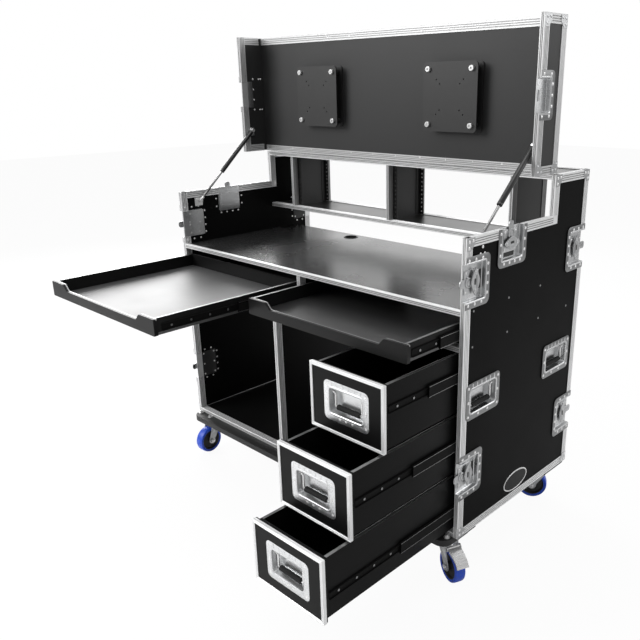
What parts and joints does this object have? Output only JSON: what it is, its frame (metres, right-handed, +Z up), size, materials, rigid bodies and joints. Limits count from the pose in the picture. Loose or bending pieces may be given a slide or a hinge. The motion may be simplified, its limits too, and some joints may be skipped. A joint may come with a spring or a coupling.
{
  "type": "rack case",
  "caption": "rolling equipment case with an upright monitor lid, hutch rack bays, desk, pull-out trays, drawers and open lower bays",
  "frame": {"origin": "on the floor under the middle of the carcass", "axes": "+Z up, the open front towards -Y, +X towards the drawer side, to the right as seen from the front"},
  "size_m": [1.322, 1.138, 1.5471],
  "materials": {
    "black_laminate": "black phenolic-faced plywood, fine linen grain, satin",
    "grey_laminate": "dark grey laminate, satin",
    "black_board": "black board, matt",
    "edging": "extruded aluminium, satin anodised",
    "zinc_steel": "zinc-plated pressed steel, bright",
    "black_steel": "black powder coat",
    "slide_steel": "bright zinc-plated steel",
    "chrome_rod": "ground and chromed",
    "grip_black": "black moulded grip over a steel bail",
    "blue_tread": "blue elastic tread on a black hub",
    "black_plastic": "moulded black plastic",
    "fork_grey": "grey plated pressed steel"
  },
  "bodies": {
    "case": {"side_panels": "black_laminate", "inner_boards": "black_board", "desk_board": "grey_laminate", "hutch_boards": "black_board", "case_edging": "edging", "corner_plates": "zinc_steel", "rack_rails": "black_steel", "latch_dishes": "zinc_steel", "handle_dishes": "zinc_steel", "fixed_slides": "black_steel", "caster_boards": "black_board", "caster_plates": "fork_grey", "oval_plate": "black_plastic", "desk_grommet": "black_plastic"},
    "lid": {"lid_shell": "grey_laminate", "lid_edging": "edging", "monitor_plates": "black_steel"},
    "left_strut_rod": {"left_strut_rod": "chrome_rod"},
    "left_strut_tube": {"left_strut_tube": "black_steel"},
    "right_strut_rod": {"right_strut_rod": "chrome_rod"},
    "right_strut_tube": {"right_strut_tube": "black_steel"},
    "left_tray": {"left_tray": "black_board"},
    "left_tray_middle": {"left_tray_slides": "slide_steel"},
    "right_tray": {"right_tray": "black_board"},
    "right_tray_middle": {"right_tray_slides": "slide_steel"},
    "lower_drawer": {"lower_drawer_box": "black_board", "lower_drawer_trim": "edging"},
    "lower_drawer_middle": {"lower_drawer_slides": "slide_steel"},
    "middle_drawer": {"middle_drawer_box": "black_board", "middle_drawer_trim": "edging"},
    "middle_drawer_middle": {"middle_drawer_slides": "slide_steel"},
    "upper_drawer": {"upper_drawer_box": "black_board", "upper_drawer_trim": "edging"},
    "upper_drawer_middle": {"upper_drawer_slides": "slide_steel"},
    "lower_drawer_bail": {"lower_drawer_bail": "grip_black"},
    "middle_drawer_bail": {"middle_drawer_bail": "grip_black"},
    "upper_drawer_bail": {"upper_drawer_bail": "grip_black"},
    "left_front_bail": {"left_front_bail": "grip_black"},
    "left_back_bail": {"left_back_bail": "grip_black"},
    "right_front_bail": {"right_front_bail": "grip_black"},
    "right_back_bail": {"right_back_bail": "grip_black"},
    "left_front_upper_wing": {"left_front_upper_wing": "zinc_steel"},
    "left_front_lower_wing": {"left_front_lower_wing": "zinc_steel"},
    "left_back_upper_wing": {"left_back_upper_wing": "zinc_steel"},
    "left_back_lower_wing": {"left_back_lower_wing": "zinc_steel"},
    "left_top_wing": {"left_top_wing": "zinc_steel"},
    "right_front_upper_wing": {"right_front_upper_wing": "zinc_steel"},
    "right_front_lower_wing": {"right_front_lower_wing": "zinc_steel"},
    "right_back_upper_wing": {"right_back_upper_wing": "zinc_steel"},
    "right_back_lower_wing": {"right_back_lower_wing": "zinc_steel"},
    "right_top_wing": {"right_top_wing": "zinc_steel"},
    "front_left_fork": {"front_left_fork": "fork_grey"},
    "front_left_wheel": {"front_left_wheel": "blue_tread"},
    "front_right_fork": {"front_right_fork": "fork_grey"},
    "front_right_wheel": {"front_right_wheel": "blue_tread"},
    "back_left_fork": {"back_left_fork": "fork_grey"},
    "back_left_wheel": {"back_left_wheel": "blue_tread"},
    "back_right_fork": {"back_right_fork": "fork_grey"},
    "back_right_wheel": {"back_right_wheel": "blue_tread"},
    "front_right_brake": {"front_right_brake": "zinc_steel"}
  },
  "joints": [
    {"name": "lid_hinge", "type": "hinge", "parent": "case", "child": "lid", "pos_m": [0, 0.1117, 1.1365], "axis": [1, 0, 0], "range_deg": [0, 90]},
    {"name": "left_strut_swing", "type": "hinge", "parent": "case", "child": "left_strut_rod", "pos_m": [-0.6115, -0.235, 0.982], "axis": [1, 0, 0], "range_deg": [-29.18, 0]},
    {"name": "left_strut_slide", "type": "slide", "parent": "left_strut_rod", "child": "left_strut_tube", "axis": [0, 0.7371, 0.6758], "range_m": [-0.0773, 0]},
    {"name": "right_strut_swing", "type": "hinge", "parent": "case", "child": "right_strut_rod", "pos_m": [0.6115, -0.235, 0.982], "axis": [1, 0, 0], "range_deg": [-29.18, 0]},
    {"name": "right_strut_slide", "type": "slide", "parent": "right_strut_rod", "child": "right_strut_tube", "axis": [0, 0.7371, 0.6758], "range_m": [-0.0773, 0]},
    {"name": "left_tray_slide", "type": "slide", "parent": "case", "child": "left_tray", "axis": [0, 1, 0], "range_m": [0, 0.5]},
    {"name": "left_tray_middle_slide", "type": "slide", "parent": "case", "child": "left_tray_middle", "axis": [0, 1, 0], "range_m": [0, 0.25]},
    {"name": "right_tray_slide", "type": "slide", "parent": "case", "child": "right_tray", "axis": [0, 1, 0], "range_m": [-0.296, 0.204]},
    {"name": "right_tray_middle_slide", "type": "slide", "parent": "case", "child": "right_tray_middle", "axis": [0, 1, 0], "range_m": [-0.148, 0.102]},
    {"name": "lower_drawer_slide", "type": "slide", "parent": "case", "child": "lower_drawer", "axis": [0, 1, 0], "range_m": [0, 0.5]},
    {"name": "lower_drawer_middle_slide", "type": "slide", "parent": "case", "child": "lower_drawer_middle", "axis": [0, 1, 0], "range_m": [0, 0.25]},
    {"name": "middle_drawer_slide", "type": "slide", "parent": "case", "child": "middle_drawer", "axis": [0, 1, 0], "range_m": [-0.093, 0.407]},
    {"name": "middle_drawer_middle_slide", "type": "slide", "parent": "case", "child": "middle_drawer_middle", "axis": [0, 1, 0], "range_m": [-0.0465, 0.2035]},
    {"name": "upper_drawer_slide", "type": "slide", "parent": "case", "child": "upper_drawer", "axis": [0, 1, 0], "range_m": [-0.212, 0.288]},
    {"name": "upper_drawer_middle_slide", "type": "slide", "parent": "case", "child": "upper_drawer_middle", "axis": [0, 1, 0], "range_m": [-0.106, 0.144]},
    {"name": "lower_drawer_bail_hinge", "type": "hinge", "parent": "lower_drawer", "child": "lower_drawer_bail", "pos_m": [0.4935, -0.7963, 0.2805], "axis": [-1, 0, 0], "range_deg": [0, 90], "stiffness_Nm_per_rad": 0.1},
    {"name": "middle_drawer_bail_hinge", "type": "hinge", "parent": "middle_drawer", "child": "middle_drawer_bail", "pos_m": [0.4935, -0.7033, 0.4625], "axis": [-1, 0, 0], "range_deg": [0, 90], "stiffness_Nm_per_rad": 0.1},
    {"name": "upper_drawer_bail_hinge", "type": "hinge", "parent": "upper_drawer", "child": "upper_drawer_bail", "pos_m": [0.4935, -0.5843, 0.6445], "axis": [-1, 0, 0], "range_deg": [0, 90], "stiffness_Nm_per_rad": 0.1},
    {"name": "left_front_bail_hinge", "type": "hinge", "parent": "case", "child": "left_front_bail", "pos_m": [-0.628, -0.209, 0.587], "axis": [0, 1, 0], "range_deg": [0, 90], "stiffness_Nm_per_rad": 0.5},
    {"name": "left_back_bail_hinge", "type": "hinge", "parent": "case", "child": "left_back_bail", "pos_m": [-0.628, 0.185, 0.587], "axis": [0, 1, 0], "range_deg": [0, 90], "stiffness_Nm_per_rad": 0.5},
    {"name": "right_front_bail_hinge", "type": "hinge", "parent": "case", "child": "right_front_bail", "pos_m": [0.628, -0.209, 0.587], "axis": [0, -1, 0], "range_deg": [0, 90], "stiffness_Nm_per_rad": 0.5},
    {"name": "right_back_bail_hinge", "type": "hinge", "parent": "case", "child": "right_back_bail", "pos_m": [0.628, 0.185, 0.587], "axis": [0, -1, 0], "range_deg": [0, 90], "stiffness_Nm_per_rad": 0.5},
    {"name": "left_front_upper_wing_turn", "type": "hinge", "parent": "case", "child": "left_front_upper_wing", "pos_m": [-0.638, -0.2635, 0.902], "axis": [-1, 0, 0], "range_deg": [0, 180]},
    {"name": "left_front_lower_wing_turn", "type": "hinge", "parent": "case", "child": "left_front_lower_wing", "pos_m": [-0.638, -0.2635, 0.345], "axis": [-1, 0, 0], "range_deg": [0, 180]},
    {"name": "left_back_upper_wing_turn", "type": "hinge", "parent": "case", "child": "left_back_upper_wing", "pos_m": [-0.638, 0.2635, 0.902], "axis": [-1, 0, 0], "range_deg": [0, 180]},
    {"name": "left_back_lower_wing_turn", "type": "hinge", "parent": "case", "child": "left_back_lower_wing", "pos_m": [-0.638, 0.2635, 0.345], "axis": [-1, 0, 0], "range_deg": [0, 180]},
    {"name": "left_top_wing_turn", "type": "hinge", "parent": "case", "child": "left_top_wing", "pos_m": [-0.638, -0.099, 0.975], "axis": [-1, 0, 0], "range_deg": [0, 180]},
    {"name": "right_front_upper_wing_turn", "type": "hinge", "parent": "case", "child": "right_front_upper_wing", "pos_m": [0.638, -0.2635, 0.902], "axis": [1, 0, 0], "range_deg": [0, 180]},
    {"name": "right_front_lower_wing_turn", "type": "hinge", "parent": "case", "child": "right_front_lower_wing", "pos_m": [0.638, -0.2635, 0.345], "axis": [1, 0, 0], "range_deg": [0, 180]},
    {"name": "right_back_upper_wing_turn", "type": "hinge", "parent": "case", "child": "right_back_upper_wing", "pos_m": [0.638, 0.2635, 0.902], "axis": [1, 0, 0], "range_deg": [0, 180]},
    {"name": "right_back_lower_wing_turn", "type": "hinge", "parent": "case", "child": "right_back_lower_wing", "pos_m": [0.638, 0.2635, 0.345], "axis": [1, 0, 0], "range_deg": [0, 180]},
    {"name": "right_top_wing_turn", "type": "hinge", "parent": "case", "child": "right_top_wing", "pos_m": [0.638, -0.099, 0.975], "axis": [1, 0, 0], "range_deg": [0, 180]},
    {"name": "front_left_swivel", "type": "hinge", "parent": "case", "child": "front_left_fork", "pos_m": [-0.58, -0.278, 0.1297], "axis": [0, 0, 1], "continuous": true},
    {"name": "front_left_axle", "type": "hinge", "parent": "front_left_fork", "child": "front_left_wheel", "pos_m": [-0.57669, -0.31585, 0.05], "axis": [0.9962, 0.0872, 0], "continuous": true},
    {"name": "front_right_swivel", "type": "hinge", "parent": "case", "child": "front_right_fork", "pos_m": [0.58, -0.278, 0.1297], "axis": [0, 0, 1], "continuous": true},
    {"name": "front_right_axle", "type": "hinge", "parent": "front_right_fork", "child": "front_right_wheel", "pos_m": [0.61472, -0.29346, 0.05], "axis": [0.4067, 0.9135, 0], "continuous": true},
    {"name": "back_left_swivel", "type": "hinge", "parent": "case", "child": "back_left_fork", "pos_m": [-0.58, 0.278, 0.1297], "axis": [0, 0, 1], "continuous": true},
    {"name": "back_left_axle", "type": "hinge", "parent": "back_left_fork", "child": "back_left_wheel", "pos_m": [-0.599, 0.24509, 0.05], "axis": [0.866, -0.5, 0], "continuous": true},
    {"name": "back_right_swivel", "type": "hinge", "parent": "case", "child": "back_right_fork", "pos_m": [0.58, 0.278, 0.1297], "axis": [0, 0, 1], "continuous": true},
    {"name": "back_right_axle", "type": "hinge", "parent": "back_right_fork", "child": "back_right_wheel", "pos_m": [0.54709, 0.259, 0.05], "axis": [0.5, -0.866, 0], "continuous": true},
    {"name": "front_right_brake_hinge", "type": "hinge", "parent": "front_right_fork", "child": "front_right_brake", "pos_m": [0.61654, -0.29427, 0.1097], "axis": [0.4067, 0.9135, 0], "range_deg": [0, 8]}
  ],
  "couplings": [
    {"joint": "left_strut_swing", "follows": "lid_hinge", "ratio": -0.31866},
    {"joint": "left_strut_slide", "follows": "lid_hinge", "m_per_rad": -0.04859},
    {"joint": "right_strut_swing", "follows": "lid_hinge", "ratio": -0.31866},
    {"joint": "right_strut_slide", "follows": "lid_hinge", "m_per_rad": -0.04859},
    {"joint": "left_tray_middle_slide", "follows": "left_tray_slide", "ratio": 0.5},
    {"joint": "right_tray_middle_slide", "follows": "right_tray_slide", "ratio": 0.5},
    {"joint": "lower_drawer_middle_slide", "follows": "lower_drawer_slide", "ratio": 0.5},
    {"joint": "middle_drawer_middle_slide", "follows": "middle_drawer_slide", "ratio": 0.5},
    {"joint": "upper_drawer_middle_slide", "follows": "upper_drawer_slide", "ratio": 0.5}
  ]
}
